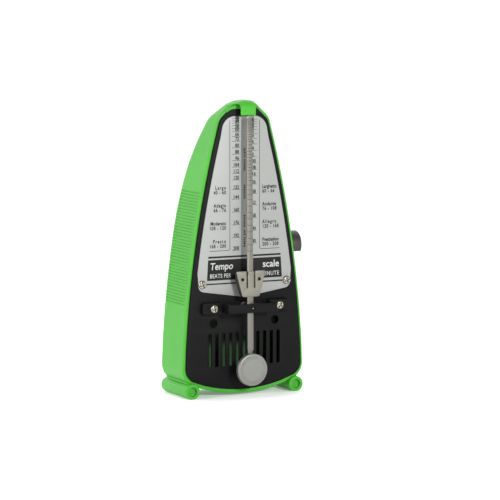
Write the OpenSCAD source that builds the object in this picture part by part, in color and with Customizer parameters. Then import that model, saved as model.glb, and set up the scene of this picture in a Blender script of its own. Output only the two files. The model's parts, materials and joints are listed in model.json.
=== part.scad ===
// Pocket pyramid metronome: green case, dial, double-weighted pendulum and clockwork.
// X runs to the right across the dial, Y from the front to the back, Z up.
// The pendulum hangs at X = 0, and the case stands on its two foot tubes at Z = 0.

/* [Case] */
// Overall height
height = 160; // [156:0.5:164]
// Half width of the front plate at its widest
base_half_w = 35.2; // [34.5:0.1:36]
// Height at which the plate would be widest
widest_z = -4.9; // [-8:0.1:0]
// Radius of the gentle bow of the two sides
side_bow = 570; // [520:5:640]
// Radius of the curved lower edge of the plate
floor_bow = 83; // [78:1:90]
// Height of the lower edge of the plate in the middle
floor_low = 3.5; // [3:0.1:4]
// Radius of the domed top of the plate
roof_bow = 12.8; // [12:0.1:14]
// Width of the case rim beside the plate
rim_w = 1.6; // [1.5:0.1:1.8]
// How much wider the rim is above and below the plate than beside it
rim_rise = 1.4; // [1.2:0.1:1.5]
// Thickness of the case wall
wall = 2; // [1.6:0.1:2.2]
// Depth of the case at its foot, behind the dial face
case_depth = 31; // [30:0.1:31.5]
// Height above which the back leans forward
back_bend_z = 88; // [84:1:92]
// Radius of the bow of the leaning back
back_bow = 161; // [150:1:175]
// Height above which the crown leans forward more
crown_z = 135; // [130:1:145]
// Radius of the bow of the crown
crown_bow = 100; // [80:5:140]
// Radius of the rounded edge round the back
back_edge_r = 3.5; // [2:0.1:4]
// Radius of the rounded edge of the rim round the dial
rim_edge_r = 0.8; // [0.4:0.1:1.4]

/* [Side grooves] */
// Number of grooves on each side
groove_count = 38; // [30:1:38]
// Distance from groove to groove
groove_pitch = 1.61; // [1.55:0.01:1.65]
// Height of the lowest groove
groove_z = 51; // [50:0.5:54]
// Depth of each groove
groove_depth = 0.4; // [0.2:0.05:0.5]

/* [Feet] */
// Distance of each foot tube from the middle
foot_x = 31.3; // [30:0.1:32]
// Outer radius of the foot tubes
foot_r = 4.2; // [4:0.1:4.4]
// Height of the tube axis
foot_z = 4; // [3.8:0.1:4]
// Radius of the hole along each foot tube, which takes a peg of the front cover
socket_r = 2.5; // [2:0.1:2.8]
// How far the foot tubes reach behind the dial face
foot_back = 32; // [30:0.5:33]

/* [Dial] */
// Thickness of the metal dial
dial_t = 0.4; // [0.3:0.1:0.5]
// Width of the black border left round the dial
border_w = 2.45; // [2.2:0.05:2.8]
// Height of the straight top edge of the dial
dial_top = 152; // [151:0.5:153]
// Height of the lower tip of the dial
dial_tip_z = 53.7; // [53.3:0.1:54.5]
// Distance of the dial screws from the middle
dial_screw_x = 25.4; // [25:0.1:26]
// Height of the dial screws
dial_screw_z = 61.6; // [61:0.1:62]

/* [Front plate] */
// Thickness of the black front plate
plate_t = 2; // [1.8:0.1:2]
// Number of sound slots
slot_count = 11; // [7:2:11]
// Distance from slot to slot
slot_pitch = 4.12; // [4:0.02:4.2]
// Width of a slot
slot_w = 1.7; // [1.4:0.1:2]
// Height of the lower end of the slots
slot_low = 16.5; // [15:0.5:18]
// Height of the upper end of the slots
slot_high = 34.5; // [33:0.5:36]

/* [Pendulum] */
// Height of the pendulum axis
pivot_z = 48.6; // [48.4:0.1:48.8]
// Width of the flat rod
rod_w = 3.5; // [3.2:0.1:3.6]
// Thickness of the flat rod
rod_t = 0.6; // [0.5:0.05:0.8]
// Forward lean of the rod towards its lower end, in degrees
rod_lean = 0.7; // [0.6:0.02:0.8]
// Distance of the rod centre in front of the dial at the pendulum axis
rod_front = 6.65; // [6.6:0.05:6.7]
// Height of the tip of the rod
rod_top = 151.8; // [151.4:0.1:151.9]
// Radius of the bob
bob_r = 8.8; // [8:0.1:9]
// Thickness of the bob
bob_t = 2.9; // [2.5:0.1:3.2]
// Height of the middle of the bob
bob_z = 15.2; // [15:0.1:16]

/* [Sliding weight] */
// Height of the upper edge of the weight at rest
weight_top = 68.5; // [68:0.1:69]
// Height of the lower edge of the weight at rest
weight_low = 54.6; // [54.4:0.1:55]
// Half width of its upper edge
weight_half_top = 8.7; // [8:0.1:9]
// Half width of its lower edge
weight_half_low = 5.2; // [5:0.1:5.5]

/* [Winding key] */
// Distance of the key axis behind the dial
key_y = 12.5; // [12.3:0.1:12.7]
// Height of the key axis
key_z = 79.8; // [79.5:0.1:80]
// Radius of the key
key_r = 7.3; // [7:0.1:7.5]
// Distance of the flat of the key below its axis
key_flat = 3.6; // [3:0.1:5]
// Distance of the end face of the key from the middle
key_end = 37.8; // [37:0.1:38]
// Play of the key in the hole of the case
key_gap = 0.5; // [0.3:0.1:0.8]

/* [Wheel train] */
// Teeth of the great wheel
great_teeth = 44; // [44]
// Tooth module of the great wheel
great_module = 0.4; // [0.4]
// Teeth of the second wheel
second_teeth = 40; // [40]
// Tooth module of the second wheel
second_module = 0.35; // [0.35]
// Leaves of each pinion
leaves = 8; // [8]
// Teeth of the escape wheel
escape_teeth = 15; // [12:1:18]
// Outer radius of the escape wheel
escape_r = 6.5; // [6:0.1:6.5]
// Teeth of the ratchet wheel
ratchet_teeth = 12; // [12]

/* [Hidden] */

bridge_front = -10.5;
// The origin is in the middle of the object's depth, and the dial face is in front of it
dial_y = -(foot_back + bridge_front) / 2;
gap = 0.05;
plate_gap = 0.1;
hair = 0.01;
fine = 64;
small = 32;

plate_front = dial_t;
plate_back = dial_t + plate_t;
rim_front = dial_t + 1;
foot_front = -0.4;
roof_top = height - rim_w * rim_rise;

green = [0.42, 0.83, 0.36];
black = [0.14, 0.14, 0.14];
silver = [0.78, 0.79, 0.78];
steel = [0.62, 0.61, 0.57];
brass = [0.78, 0.62, 0.3];
key_grey = [0.3, 0.29, 0.27];
blue_steel = [0.25, 0.28, 0.36];

// ---- outline of the front, drawn in by inset -------------------------------------------

function side_x(z, inset) = base_half_w - inset - pow(z - widest_z, 2) / (2 * side_bow);
function floor_edge(x, inset) = floor_low + rim_rise * inset + x * x / (2 * (floor_bow - inset));
function roof_edge(x, inset) = roof_top - rim_rise * inset - x * x / (2 * (roof_bow - inset));

function unit(v) = v / norm(v);

// Arc of radius r that rounds the corner at b, between a and c
function rounded(a, b, c, r, steps) =
    let (u = unit(a - b), v = unit(c - b))
    let (half = acos(u * v) / 2)
    let (centre = b + unit(u + v) * r / sin(half))
    let (from = b + u * r / tan(half) - centre, to = b + v * r / tan(half) - centre)
    let (turn = atan2(from[0] * to[1] - from[1] * to[0], from * to))
    [for (i = [0 : steps])
        let (t = turn * i / steps)
        centre + [from[0] * cos(t) - from[1] * sin(t), from[0] * sin(t) + from[1] * cos(t)]];

// Right half of the outline, from the middle of the floor to the middle of the roof
function half_outline(inset) =
    let (foot_corner = [side_x(11, inset), floor_edge(side_x(11, inset), inset)])
    let (shoulder_z = 149.4 - 0.7 * inset, shoulder = [side_x(shoulder_z, inset), shoulder_z])
    concat(
        [for (x = [0 : 6 : 24]) [x, floor_edge(x, inset)]],
        rounded([24, floor_edge(24, inset)], foot_corner,
                [side_x(26, inset), 26], 8 - inset, 8),
        [for (z = [26 : 8 : 138]) [side_x(z, inset), z]],
        rounded([side_x(138, inset), 138], shoulder,
                [8, roof_edge(8, inset)], 6.5 - inset, 5),
        [for (x = [8 : -2 : 0]) [x, roof_edge(x, inset)]]
    );

function mirrored(half) =
    concat(half, [for (i = [len(half) - 2 : -1 : 1]) [-half[i][0], half[i][1]]]);

function outline(inset) = mirrored(half_outline(inset));

// Depth of the back of the case at height z, behind the dial face
function back_y(z) = case_depth - pow(max(0, z - back_bend_z), 2) / (2 * back_bow)
    - pow(max(0, z - crown_z), 2) / (2 * crown_bow);

// ---- helpers -----------------------------------------------------------------------------

// Puts a piece that is measured from the dial face into the part's own frame
module from_dial()
    translate([0, dial_y, 0])
        children();

// Outline in X and Z, extruded from y0 back to y1
module slab(points, y0, y1)
    translate([0, y1, 0])
        rotate([90, 0, 0])
            linear_extrude(height = y1 - y0)
                polygon(points);

// Round bar along Y
module bar_y(x, z, r, y0, y1, facets = small)
    translate([x, y0, z])
        rotate([-90, 0, 0])
            cylinder(r = r, h = y1 - y0, $fn = facets);

// Round bar along X
module bar_x(y, z, r, x0, x1, facets = small)
    translate([x0, y, z])
        rotate([0, 90, 0])
            cylinder(r = r, h = x1 - x0, $fn = facets);

// Flat profile in Y and Z, extruded from x0 to x1
module sheet_x(x0, x1)
    translate([x0, 0, 0])
        rotate([90, 0, 90])
            linear_extrude(height = x1 - x0)
                children();

// Closed body between the rim and the back: rings of the outline, drawn in round both edges
module case_solid(inset, y_front, front_r, back_off, edge_r)
{
    turns = [0, 22.5, 45, 67.5, 90];
    rings = concat(
        [for (t = [0, 45, 90])
            [for (p = outline(inset + front_r * (1 - sin(t))))
                [p[0], y_front + front_r * (1 - cos(t)), p[1]]]],
        [for (t = turns)
            [for (p = outline(inset + edge_r * (1 - cos(t))))
                [p[0], back_y(p[1]) - back_off - edge_r * (1 - sin(t)), p[1]]]]
    );
    n = len(rings[0]);
    last = len(rings) - 1;
    walls = [for (j = [0 : last - 1], i = [0 : n - 1]) each [
        [j * n + i, j * n + (i + 1) % n, (j + 1) * n + i],
        [j * n + (i + 1) % n, (j + 1) * n + (i + 1) % n, (j + 1) * n + i]]];
    front = [[for (i = [n - 1 : -1 : 0]) i]];
    back = [for (i = [0 : n / 2 - 1]) each [
        [last * n + i, last * n + i + 1, last * n + (n - i) % n],
        [last * n + i + 1, last * n + n - i - 1, last * n + (n - i) % n]]];
    polyhedron(
        points = [for (r = rings) each r],
        faces = [for (f = concat(walls, front, back)) if (len(f) > 3 || f[1] != f[2]) f],
        convexity = 4);
}

// ---- case ----------------------------------------------------------------------------------

module foot_tube(side)
{
    bar_y(side * foot_x, foot_z, foot_r, foot_front, foot_back - 1, fine);
    translate([side * foot_x, foot_back - 1, foot_z])
        rotate([-90, 0, 0])
            cylinder(r1 = foot_r, r2 = foot_r - 1, h = 1, $fn = fine);
}

module foot_web(side)
    slab([[side * 28.2, 7.4], [side * 29.5, 5], [side * 34.5, 5], [side * 35.2, 8],
          [side * 35.6, 12], [side * 29, 12]], rim_front + 0.8, back_y(8) - 1.2);

// Tab that bends down from the rim in front of the dial, over the tip of the rod
hook_front = -5.1;
hook_t = 0.8;
hook_roof = 154;

module hook_outline(low, left, right)
    intersection() {
        polygon(outline(-rim_w));
        polygon([[left, low], [right, low], [right + 0.4, low + 3], [right + 2, low + 5.4],
                 [right + 4, 162], [left - 6, 162], [left - 4.6, low + 4.6],
                 [left - 1.6, low + 3.6], [left - 0.5, low + 2.2]]);
    }

module hook()
{
    translate([0, hook_front + hook_t, 0])
        rotate([90, 0, 0])
            linear_extrude(height = hook_t)
                hook_outline(dial_top, -4.6, 4.2);
    translate([0, plate_front - plate_gap, 0])
        rotate([90, 0, 0])
            linear_extrude(height = plate_front - plate_gap - hook_front)
                intersection() {
                    hook_outline(dial_top, -4.6, 4.2);
                    translate([-20, hook_roof])
                        square([40, 10]);
                }
    // Runs back over the plate and into the rim
    translate([0, rim_front + 2, 0])
        rotate([90, 0, 0])
            linear_extrude(height = rim_front + 2 - hook_front)
                difference() {
                    hook_outline(dial_top, -4.6, 4.2);
                    polygon(outline(-plate_gap));
                }
}

module side_grooves(side)
    for (i = [0 : groove_count - 1]) {
        z = groove_z + i * groove_pitch;
        translate([side * (side_x(z, -rim_w) + 1 - groove_depth), 3, z])
            translate([-1, 0, -0.3])
                cube([2, back_y(z) - 5.5, 0.6]);
    }

housing_posts = [[dial_screw_x, dial_screw_z], [-dial_screw_x, dial_screw_z]];

module housing()
    color(green) from_dial()
        difference() {
            union() {
                difference() {
                    union() {
                        case_solid(-rim_w, rim_front, rim_edge_r, 0, back_edge_r);
                        for (side = [-1, 1]) {
                            foot_tube(side);
                            foot_web(side);
                        }
                        hook();
                    }
                    case_solid(-plate_gap, rim_front - 1, 0.01, wall, back_edge_r - 1);
                }
                intersection() {
                    for (p = housing_posts)
                        bar_y(p[0], p[1], 3, plate_back, case_depth);
                    case_solid(-rim_w / 2, rim_front, 0.01, wall / 2, back_edge_r);
                }
            }
            for (side = [-1, 1]) {
                bar_y(side * foot_x, foot_z, socket_r, foot_front - 1, foot_back + 1, fine);
                side_grooves(side);
            }
            for (p = housing_posts)
                bar_y(p[0], p[1], 1, 0, 12);
            bar_x(key_y, key_z, key_r + key_gap, 24, 40, fine);
            translate([-50, -10, -5])
                cube([100, 60, 5]);
        }

module front_plate()
    color(black) from_dial()
        difference() {
            slab(outline(0), plate_front, plate_back);
            for (i = [0 : slot_count - 1])
                translate([(i - (slot_count - 1) / 2) * slot_pitch - slot_w / 2, 0, slot_low])
                    cube([slot_w, 5, slot_high - slot_low]);
            for (side = [-1, 1]) {
                bar_y(side * 18.5, 40.2, 2.3, 0, 5);
                bar_y(side * dial_screw_x, dial_screw_z, 1.3, 0, 5);
                bar_y(side * bridge_screw_x, pivot_z, 1.3, 0, 5);
            }
            bar_y(0, pivot_z, 2.5, 0, 5);
        }

// ---- dial ----------------------------------------------------------------------------------

function dial_half() =
    let (corner = [side_x(57.5, border_w) - 2, 57.9])
    let (shoulder = [side_x(149.8, border_w) + 0.45, dial_top])
    concat(
        [[0, dial_tip_z]],
        rounded([0, dial_tip_z], corner, [side_x(66, border_w), 66], 3.8, 6),
        [for (z = [68 : 8 : 140]) [side_x(z, border_w), z]],
        rounded([side_x(140, border_w), 140], shoulder, [0, dial_top], 8, 6),
        [[0, dial_top]]
    );

module scale_plate()
    color(silver) from_dial()
        difference() {
            slab(mirrored(dial_half()), 0, dial_t);
            for (side = [-1, 1])
                bar_y(side * dial_screw_x, dial_screw_z, 1.3, -1, 5);
        }

// Pan head screw along Y with a cross recess: head from y_head to y_seat, tip at y_tip
module front_screw(x, z, head_r, y_head, y_seat, y_tip)
    difference() {
        union() {
            bar_y(x, z, head_r, y_head + 0.5, y_seat, small);
            translate([x, y_head, z])
                rotate([-90, 0, 0])
                    cylinder(r1 = head_r - 0.6, r2 = head_r, h = 0.5, $fn = small);
            bar_y(x, z, 1, y_seat - hair, y_tip, small);
        }
        for (turn = [20, 110])
            translate([x, y_head - 0.1, z])
                rotate([0, turn, 0])
                    translate([-1.3, 0, -0.25])
                        cube([2.6, 0.8, 0.5]);
    }

module dial_screws()
    color(steel) from_dial()
        for (side = [-1, 1])
            front_screw(side * dial_screw_x, dial_screw_z, 2.3, -1.2, 0, 11);

// ---- bridge over the pendulum hub ------------------------------------------------------------

bridge_screw_x = 19.7;
hat_half_w = 14.5;
hat_wall = 1.5;
hat_low = 46.2;
hat_high = 51;
ear_front = -2.7;

module bridge()
    color(black) from_dial()
        difference() {
            union() {
                for (side = [-1, 1])
                    translate([side * 19.9, ear_front, 0])
                        difference() {
                            hull()
                                for (dx = [-3.2, 3.2])
                                    bar_y(dx, pivot_z, 3.1, 0, plate_front - ear_front, 32);
                            bar_y(side * (bridge_screw_x - 19.9), pivot_z, 1.3, -1, 5);
                        }
                translate([-hat_half_w, bridge_front, hat_low])
                    cube([2 * hat_half_w, hat_wall, hat_high - hat_low]);
                for (side = [-1, 1])
                    translate([side * (hat_half_w - hat_wall / 2) - hat_wall / 2,
                               bridge_front, hat_low])
                        cube([hat_wall, plate_front - bridge_front, hat_high - hat_low]);
            }
            bar_y(0, pivot_z, 1.8, bridge_front - 1, bridge_front + 3, fine);
        }

module bridge_bush()
    color(brass) from_dial()
        difference() {
            bar_y(0, pivot_z, 1.8, bridge_front + 0.1, bridge_front + hat_wall, fine);
            bar_y(0, pivot_z, pendulum_arbor_r + gap, bridge_front - 1, bridge_front + 3, fine);
        }

module bridge_screws()
    color(steel) from_dial()
        for (side = [-1, 1])
            front_screw(side * bridge_screw_x, pivot_z, 2.2, -3.9, ear_front, 5.5);

// ---- pendulum --------------------------------------------------------------------------------

// Rod frame: origin on the rod's centre plane at the pendulum axis, Z along the rod
module on_rod()
    translate([0, -rod_front, pivot_z])
        rotate([-rod_lean, 0, 0])
            children();

pendulum_arbor_r = 0.8;
rod_up = rod_top - pivot_z;
rod_down = pivot_z - 25.3;
tang_back = 0.4;

module pendulum_rod()
    color(steel) from_dial()
        on_rod() {
            difference() {
                translate([-rod_w / 2, -rod_t / 2, -rod_down])
                    cube([rod_w, rod_t, rod_down + rod_up]);
                for (z = [20 : 4 : 100], side = [-1, 1])
                    translate([side * rod_w / 2 - 0.15, -1, z])
                        cube([0.3, 2, 0.25]);
                rotate([rod_lean, 0, 0])
                    bar_y(0, 0, pendulum_arbor_r, -2, 2, fine);
            }
            translate([-1.4, -rod_t / 2, -rod_down - 0.6])
                cube([2.8, rod_t + tang_back, 0.6 + hair]);
            difference() {
                translate([-1.4, tang_back - rod_t / 2, bob_z - pivot_z - 3])
                    cube([2.8, rod_t, pivot_z - bob_z + 3 - rod_down]);
                rotate([rod_lean, 0, 0])
                    bar_y(0, bob_z - pivot_z, 1, -2, 4, small);
            }
        }

hub_screw_y = -4.8;

module pendulum_hub()
    color(steel) from_dial()
        difference() {
            union() {
                bar_y(0, pivot_z, 2.4, -8.6, -2, fine);
                translate([-2.6, -8.6, pivot_z - 1.4])
                    cube([5.2, 4.6, 3.8]);
            }
            bar_y(0, pivot_z, pendulum_arbor_r, -12, 5, fine);
            on_rod()
                translate([-rod_w / 2, -rod_t / 2, -10])
                    cube([rod_w, rod_t, 20]);
            bar_x(hub_screw_y, pivot_z, 0.5, 0, 4);
            bar_x(hub_screw_y, pivot_z, 1.05, 2.6, 4);
        }

module hub_screw()
    color(steel) from_dial() {
        bar_x(hub_screw_y, pivot_z, 0.5, pendulum_arbor_r, 3.2, small);
        bar_x(hub_screw_y, pivot_z, 1, 2.6, 3.2, small);
    }

pendulum_back = 19;

module pendulum_arbor()
    color(steel) from_dial()
        bar_y(0, pivot_z, pendulum_arbor_r, bridge_front + 0.3, pendulum_back, fine);

escape_y = key_y;
escape_z = key_z - (great_teeth + leaves) / 2 * great_module
    - (second_teeth + leaves) / 2 * second_module;
pallet_reach = 4.6;

module pallets()
    color(blue_steel) from_dial()
        difference() {
            union() {
                bar_y(0, pivot_z, 2, escape_y - pallet_reach - 1, escape_y + pallet_reach + 1);
                for (side = [-1, 1])
                    translate([-1.2, escape_y + side * pallet_reach - 0.4, pivot_z])
                        cube([2.4, 0.8, 7]);
            }
            bar_y(0, pivot_z, pendulum_arbor_r, 0, 30, fine);
        }

module bob()
    color(steel) from_dial()
        translate([0, bob_back, bob_z])
            rotate([90, 0, 0])
                difference() {
                    rotate_extrude($fn = 96)
                        polygon([[0, 0], [bob_r - 0.4, 0], [bob_r, 0.4],
                                 [bob_r, bob_t - 0.7], [bob_r - 0.7, bob_t],
                                 [bob_r - 1.6, bob_t], [bob_r - 1.8, bob_t - 0.2],
                                 [0, bob_t - 0.2]]);
                    translate([0, 0, -1])
                        cylinder(r = 1, h = 2.2, $fn = small);
                }

bob_back = -7.2;

module bob_rivet()
    color(steel) from_dial() {
        bar_y(0, bob_z, 1, bob_back - 1.2, -6.28, small);
        bar_y(0, bob_z, 1.8, -6.3, -5.8, small);
    }

// ---- sliding weight -----------------------------------------------------------------------

weight_h = weight_top - weight_low;
face_t = 0.8;
rod_slot_t = rod_t + 2 * gap;
body_back = 2.7;

// Face outline in X and Z, measured up from the pendulum axis
weight_outline = [
    [-weight_half_low + 1.2, weight_low - pivot_z], [weight_half_low - 1.2, weight_low - pivot_z],
    [weight_half_low, weight_low - pivot_z + 1.4], [weight_half_top, weight_top - pivot_z - 1],
    [weight_half_top - 1, weight_top - pivot_z], [-weight_half_top + 1, weight_top - pivot_z],
    [-weight_half_top, weight_top - pivot_z - 1], [-weight_half_low, weight_low - pivot_z + 1.4]
];
rivet_x = 5;
rivet_z = 64 - pivot_z;

module slider_face()
    color(steel) from_dial()
        on_rod()
            difference() {
                slab(weight_outline, -rod_slot_t / 2 - face_t, -rod_slot_t / 2);
                for (side = [-1, 1]) {
                    translate([side * 2.2 - 0.45, -5, weight_top - pivot_z - 9.2])
                        cube([0.9, 8, 12]);
                    bar_y(side * rivet_x, rivet_z, 0.8, -5, 5);
                }
            }

module slider_body()
    color(steel) from_dial()
        on_rod()
            difference() {
                intersection() {
                    slab(weight_outline, -rod_slot_t / 2, body_back);
                    translate([-7.6, -5, weight_low - pivot_z])
                        cube([15.2, 12, weight_h - 1.2]);
                }
                translate([-rod_w / 2 - gap, -5, 0])
                    cube([rod_w + 2 * gap, 5 + rod_slot_t / 2, 30]);
                for (side = [-1, 1])
                    bar_y(side * rivet_x, rivet_z, 0.8, -5, 5);
            }

module slider_rivets()
    color(steel) from_dial()
        on_rod()
            for (side = [-1, 1]) {
                bar_y(side * rivet_x, rivet_z, 0.8, -rod_slot_t / 2 - face_t, body_back);
                bar_y(side * rivet_x, rivet_z, 1.1,
                      -rod_slot_t / 2 - face_t - 0.25, -rod_slot_t / 2 - face_t);
            }

// ---- winding key, arbor and mainspring ----------------------------------------------------

left_plate_x = -11.5;
right_plate_x = 12;
frame_t = 1.5;
arbor_r = 1.5;

module winding_key()
    color(key_grey) from_dial()
        difference() {
            union() {
                intersection() {
                    bar_x(key_y, key_z, key_r, 28, key_end, fine);
                    translate([20, key_y - 20, key_z - key_flat])
                        cube([20, 40, 20]);
                }
                bar_x(key_y, key_z, 3.2, 16, 28.5, small);
            }
            bar_x(key_y, key_z, arbor_r, 15, 33, fine);
            bar_x(key_y, key_z, 1.8, 35, 40, small);
            bar_x(key_y, key_z, 1, 32, 36, small);
        }

module key_screw()
    color(steel) from_dial() {
        bar_x(key_y, key_z, 1, 33, 36, small);
        bar_x(key_y, key_z, 1.8, 35, 35.9, small);
    }

module winding_arbor()
    color(steel) from_dial()
        bar_x(key_y, key_z, arbor_r, left_plate_x - 0.5, 33, fine);

ratchet_x = 6.6;
great_x = 4.6;
wheel_t = 1.2;
ratchet_r = 4.6;

module ratchet_wheel()
    color(brass) from_dial()
        difference() {
            sheet_x(ratchet_x, ratchet_x + wheel_t)
                translate([key_y, key_z])
                    polygon([for (i = [0 : ratchet_teeth - 1]) let (a = i * 360 / ratchet_teeth)
                        each [(ratchet_r - 0.9) * [cos(a - 2), sin(a - 2)],
                              ratchet_r * [cos(a), sin(a)]]]);
            bar_x(key_y, key_z, arbor_r, 0, 10, fine);
        }

// ---- toothed wheels ------------------------------------------------------------------------

pressure = 25;
backlash = 0.1;

function involute_angle(base_r, r) =
    let (t = sqrt(max(0, pow(r / base_r, 2) - 1)))
    t * 180 / PI - atan(t);

// Toothed disc: involute flanks of module m, thinned for running clearance
module gear_2d(teeth, m, addendum, dedendum, phase)
{
    pitch_r = teeth * m / 2;
    base_r = pitch_r * cos(pressure);
    root_r = pitch_r - dedendum * m;
    tip_r = pitch_r + addendum * m;
    half_pitch = 90 / teeth - backlash * 90 / (PI * pitch_r);
    half_base = half_pitch + involute_angle(base_r, pitch_r);
    start_r = max(base_r, root_r);
    radii = [for (i = [0 : 4]) start_r + (tip_r - start_r) * i / 4];
    flank = concat([[root_r, half_base]],
                   [for (r = radii) [r, half_base - involute_angle(base_r, r)]]);
    polygon([for (i = [0 : teeth - 1]) let (a = i * 360 / teeth + phase) each concat(
        [for (f = flank) f[0] * [cos(a - f[1]), sin(a - f[1])]],
        [for (k = [len(flank) - 1 : -1 : 0])
            flank[k][0] * [cos(a + flank[k][1]), sin(a + flank[k][1])]])]);
}

wheel_addendum = 0.7;
leaf_addendum = 0.8;

// Spoked toothed wheel along X with a bore of hub_r
module toothed_wheel(x, y, z, teeth, m, hub_r, phase = 0)
{
    rim_r = teeth * m / 2 - 1.1;
    difference() {
        sheet_x(x, x + wheel_t)
            translate([y, z])
                gear_2d(teeth, m, wheel_addendum, 1.1, phase);
        bar_x(y, z, hub_r, x - 1, x + 3, fine);
        for (turn = [45 : 90 : 315])
            translate([0, y + (rim_r * 0.62) * cos(turn), z + (rim_r * 0.62) * sin(turn)])
                bar_x(0, 0, rim_r * 0.24, x - 1, x + 3);
    }
}

module great_wheel()
    color(brass) from_dial()
        difference() {
            union() {
                toothed_wheel(great_x, key_y, key_z, great_teeth, great_module, arbor_r + gap);
                bar_x(click_y, click_z, 1.2, great_x, great_x + wheel_t, small);
            }
            bar_x(click_y, click_z, 0.6, great_x - 1, great_x + 3, small);
        }

click_y = key_y + 6.6;
click_z = key_z + 0.4;
click_tip = [key_y, key_z] + 3.97 * [cos(54), sin(54)];

module click()
    color(blue_steel) from_dial()
        difference() {
            union() {
                bar_x(click_y, click_z, 1.1, ratchet_x, ratchet_x + 1);
                sheet_x(ratchet_x, ratchet_x + 1)
                    polygon([[click_y - 0.2, click_z - 1], [click_y + 0.9, click_z + 0.6],
                             [click_y - 1.2, click_z + 3.4], click_tip + [0.1, 0.8],
                             click_tip, [click_y - 2, click_z + 2.2]]);
            }
            bar_x(click_y, click_z, 0.6 + gap, 0, 12, fine);
        }

module click_stud()
    color(steel) from_dial() {
        bar_x(click_y, click_z, 0.6, great_x, ratchet_x + 1.2, fine);
        bar_x(click_y, click_z, 1, ratchet_x + 1.2, ratchet_x + 1.7, small);
    }

module click_spring()
    color(steel) from_dial()
        sheet_x(great_x + wheel_t, ratchet_x + 0.9)
            polygon([[key_y - 4.5, key_z + 6.3], [key_y - 4.5, key_z + 6.7],
                     [key_y + 2.5, key_z + 6.6], [key_y + 4.6, key_z + 5.6],
                     [key_y + 4.4, key_z + 5.3], [key_y + 2.4, key_z + 6.2]]);

coil_inner = arbor_r + 0.4;
coil_step = 0.75;
coil_t = 0.35;
coil_turns = 8;

function coil_point(t, off) = (coil_inner + off + coil_step * t / 360) * [cos(t), sin(t)];

module mainspring()
    color(blue_steel) from_dial()
        sheet_x(-8.5, 2.5)
            translate([key_y, key_z])
                polygon(concat(
                    [for (t = [0 : 15 : coil_turns * 360]) coil_point(t, 0)],
                    [for (t = [coil_turns * 360 : -15 : 0]) coil_point(t, coil_t)]));

second_z = key_z - (great_teeth + leaves) / 2 * great_module;
second_x = 8.6;
thin_arbor_r = 0.6;

// Arbor of the train between the frame plates, with a pivot at each end
module train_arbor(z)
{
    bar_x(key_y, z, thin_arbor_r, left_plate_x - 0.3, right_plate_x + frame_t + 0.3, fine);
}

module pinion(x, length, z, m)
    difference() {
        sheet_x(x, x + length)
            translate([key_y, z])
                gear_2d(leaves, m, leaf_addendum, 1.05, 180 / leaves);
        bar_x(key_y, z, thin_arbor_r, x - 1, x + length + 1, fine);
    }

module second_arbor()
    color(steel) from_dial()
        train_arbor(second_z);

module second_pinion()
    color(steel) from_dial()
        pinion(great_x - 0.4, 2, second_z, great_module);

module second_wheel()
    color(brass) from_dial()
        toothed_wheel(second_x, key_y, second_z, second_teeth, second_module, thin_arbor_r);

module escape_arbor()
    color(steel) from_dial()
        train_arbor(escape_z);

module escape_pinion()
    color(steel) from_dial()
        pinion(second_x - 0.4, 2, escape_z, second_module);

module escape_wheel()
    color(brass) from_dial()
        difference() {
            sheet_x(-0.5, 0.5)
                translate([escape_y, escape_z])
                    polygon([for (i = [0 : escape_teeth - 1]) let (a = i * 360 / escape_teeth)
                        each [escape_r * [cos(a), sin(a)],
                              escape_r * [cos(a + 2), sin(a + 2)],
                              (escape_r - 1.9) * [cos(a + 5), sin(a + 5)],
                              (escape_r - 1.9) * [cos(a + 15), sin(a + 15)]]]);
            bar_x(escape_y, escape_z, thin_arbor_r, -3, 3, fine);
            for (turn = [0 : 72 : 288])
                translate([0, escape_y + 2.7 * cos(turn), escape_z + 2.7 * sin(turn)])
                    bar_x(0, 0, 0.9, -3, 3);
        }

// ---- frame of the movement ------------------------------------------------------------------

pillar_spots = [[5, 93], [20.5, 93], [20.5, 58], [4.9, 56]];
pillar_r = 1.2;
bush_r = 2.6;
bar_t = 2.5;
bar_back = plate_back + bar_t;
post_y = key_y + coil_inner + coil_step * coil_turns + coil_t + 0.85;
post_r = 0.8;

module frame_plate(x)
    difference() {
        sheet_x(x, x + frame_t)
            polygon([[bar_back, 46], [23, 46], [23.3, 84], [22, 97], [plate_back, 97],
                     [plate_back, 52], [bar_back, 52]]);
        bar_x(key_y, key_z, bush_r, x - 1, x + 3, fine);
        for (z = [second_z, escape_z])
            bar_x(key_y, z, thin_arbor_r + gap, x - 1, x + 3, fine);
        for (p = pillar_spots)
            bar_x(p[0], p[1], pillar_r, x - 1, x + 3, small);
        bar_x(7, pivot_z, 0.9, x - 1, x + 3, small);
        bar_x(20.5, pivot_z, 0.9, x - 1, x + 3, small);
        bar_x(post_y, key_z, post_r, left_plate_x - 5, left_plate_x + 1, small);
    }

module left_frame_plate()
    color(steel) from_dial()
        frame_plate(left_plate_x - frame_t);

module right_frame_plate()
    color(steel) from_dial()
        frame_plate(right_plate_x);

module frame_pillars()
    color(brass) from_dial()
        for (p = pillar_spots) {
            bar_x(p[0], p[1], pillar_r + 0.6, left_plate_x, right_plate_x);
            bar_x(p[0], p[1], pillar_r, left_plate_x - frame_t - 1.5,
                  right_plate_x + frame_t + 1.5);
        }

module frame_nuts()
    color(brass) from_dial()
        for (p = pillar_spots, x = [left_plate_x - frame_t - 1.2, right_plate_x + frame_t])
            difference() {
                translate([x, p[0], p[1]])
                    rotate([0, 90, 0])
                        cylinder(r = 2.2, h = 1.2, $fn = 6);
                bar_x(p[0], p[1], pillar_r, x - 1, x + 3, small);
            }

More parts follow.
